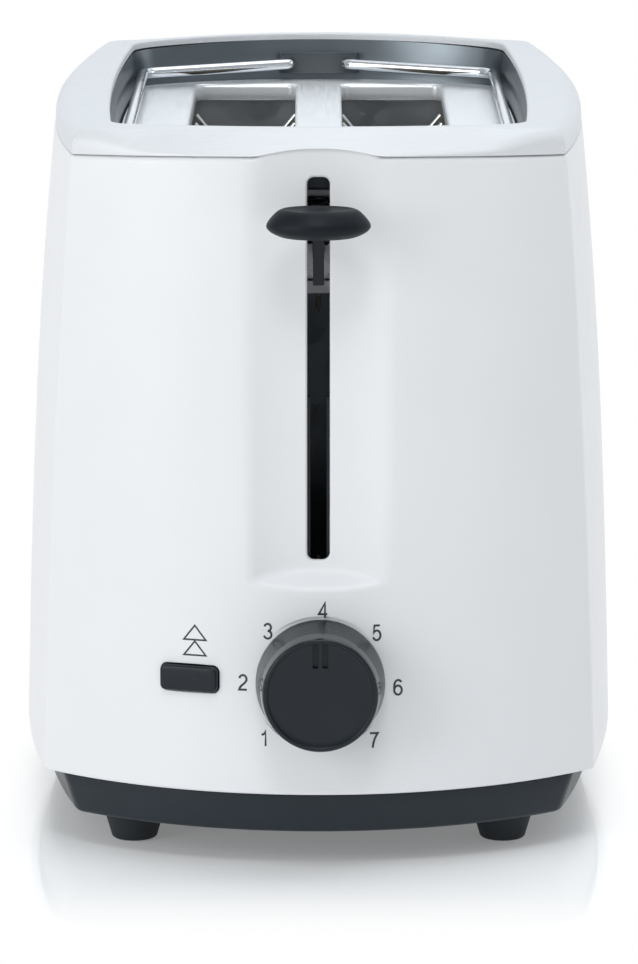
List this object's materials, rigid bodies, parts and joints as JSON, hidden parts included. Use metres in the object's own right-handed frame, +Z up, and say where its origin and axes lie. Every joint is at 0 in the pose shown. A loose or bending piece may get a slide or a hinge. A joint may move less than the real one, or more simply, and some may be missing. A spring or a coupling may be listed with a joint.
{
  "type": "pop up toaster",
  "caption": "White pop up toaster with long side-by-side bread slots in a steel top, folding wire bun rack, front lever, browning dial, eject button and rear crumb tray.",
  "frame": {"origin": "on the floor, under the middle of the overall length and width", "axes": "+X to the right seen from the lever end, +Y from the lever end to the rear, +Z up"},
  "size_m": [0.1672, 0.2816, 0.2],
  "materials": {
    "white_plastic": "smooth, slightly glossy",
    "satin_silver": "satin silver",
    "polished_steel": "polished",
    "brushed_steel": "brushed along the slots",
    "anthracite_plastic": "satin",
    "black_plastic": "satin to gloss",
    "black_steel": "black oxide strip",
    "rubber": "matt",
    "zinc_steel": "zinc plated",
    "aluminised_steel": "dull, heat tinted",
    "mica": "flecked mica sheet",
    "heater_ribbon": "oxidised",
    "bright_wire": "plated wire",
    "copper_winding": "enamelled copper",
    "circuit_board": "solder mask",
    "component_black": "moulded"
  },
  "bodies": {
    "casing": {"base": "anthracite_plastic", "base_screws": "zinc_steel", "board_bracket": "component_black", "board_components": "component_black", "chassis_front_plate": "aluminised_steel", "chassis_rear_plate": "aluminised_steel", "chassis_screws": "zinc_steel", "control_board": "circuit_board", "cord_inlet": "anthracite_plastic", "electromagnet_coil": "copper_winding", "electromagnet_core": "zinc_steel", "foot_front_left": "rubber", "foot_front_right": "rubber", "foot_rear_left": "rubber", "foot_rear_right": "rubber", "front_panel": "white_plastic", "guide_rods": "zinc_steel", "heat_shield_left": "aluminised_steel", "heat_shield_right": "aluminised_steel", "heater_board_centre": "mica", "heater_board_left": "mica", "heater_board_right": "mica", "heater_ribbon_centre": "heater_ribbon", "heater_ribbon_left": "heater_ribbon", "heater_ribbon_right": "heater_ribbon", "opening_liner": "polished_steel", "potentiometer": "component_black", "rack_bracket_back": "black_plastic", "rack_bracket_front": "black_plastic", "rear_panel": "white_plastic", "return_spring": "zinc_steel", "rod_bracket_lower": "zinc_steel", "rod_bracket_upper": "zinc_steel", "side_shell_left": "white_plastic", "side_shell_right": "white_plastic", "slot_guard": "black_plastic", "top_plate": "brushed_steel", "top_rim": "satin_silver"},
    "lift": {"carriage": "zinc_steel", "lever_arm": "black_steel", "lever_knob": "black_plastic", "armature": "zinc_steel", "bread_lifter_left": "aluminised_steel", "bread_lifter_right": "aluminised_steel"},
    "browning_control": {"browning_knob": "black_plastic", "control_shaft": "zinc_steel"},
    "eject": {"eject_button": "black_plastic"},
    "crumb_tray": {"crumb_tray": "anthracite_plastic"},
    "bun_rack_left": {"bun_rack_left": "bright_wire"},
    "bun_rack_right": {"bun_rack_right": "bright_wire"},
    "guide_left_outer": {"bread_guide_left_outer": "bright_wire"},
    "guide_left_inner": {"bread_guide_left_inner": "bright_wire"},
    "guide_right_inner": {"bread_guide_right_inner": "bright_wire"},
    "guide_right_outer": {"bread_guide_right_outer": "bright_wire"}
  },
  "joints": [
    {"name": "lift_slide", "type": "slide", "parent": "casing", "child": "lift", "axis": [0, 0, 1], "range_m": [-0.085, 0.005], "stiffness_N_per_m": 30, "springref_m": 0.045, "deforming": ["return_spring"]},
    {"name": "browning_turn", "type": "hinge", "parent": "casing", "child": "browning_control", "pos_m": [0.0005, -0.12175, 0.0518], "axis": [0, 1, 0], "range_deg": [-135, 135]},
    {"name": "eject_press", "type": "slide", "parent": "casing", "child": "eject", "axis": [0.3204, 0.9473, 0], "range_m": [0, 0.0025], "stiffness_N_per_m": 400, "springref_m": -0.001},
    {"name": "crumb_tray_slide", "type": "slide", "parent": "casing", "child": "crumb_tray", "axis": [0, 1, 0], "range_m": [0, 0.165]},
    {"name": "bun_rack_left_fold", "type": "hinge", "parent": "casing", "child": "bun_rack_left", "pos_m": [-0.0085, 0.00825, 0.191], "axis": [0, 1, 0], "range_deg": [0, 60]},
    {"name": "bun_rack_right_fold", "type": "hinge", "parent": "casing", "child": "bun_rack_right", "pos_m": [0.0085, 0.00825, 0.191], "axis": [0, 1, 0], "range_deg": [-60, 0]},
    {"name": "guide_left_outer_tilt", "type": "hinge", "parent": "casing", "child": "guide_left_outer", "pos_m": [-0.0325, 0.00825, 0.034], "axis": [0, 1, 0], "range_deg": [-0.17, 2.52]},
    {"name": "guide_left_inner_tilt", "type": "hinge", "parent": "casing", "child": "guide_left_inner", "pos_m": [-0.0115, 0.00825, 0.034], "axis": [0, 1, 0], "range_deg": [-2.52, 0.17]},
    {"name": "guide_right_inner_tilt", "type": "hinge", "parent": "casing", "child": "guide_right_inner", "pos_m": [0.0115, 0.00825, 0.034], "axis": [0, 1, 0], "range_deg": [-0.17, 2.52]},
    {"name": "guide_right_outer_tilt", "type": "hinge", "parent": "casing", "child": "guide_right_outer", "pos_m": [0.0325, 0.00825, 0.034], "axis": [0, 1, 0], "range_deg": [-2.52, 0.17]}
  ],
  "couplings": [
    {"joint": "guide_left_outer_tilt", "follows": "lift_slide", "rad_per_m": -0.51333},
    {"joint": "guide_left_inner_tilt", "follows": "lift_slide", "rad_per_m": 0.51333},
    {"joint": "guide_right_inner_tilt", "follows": "lift_slide", "rad_per_m": -0.51333},
    {"joint": "guide_right_outer_tilt", "follows": "lift_slide", "rad_per_m": 0.51333}
  ]
}
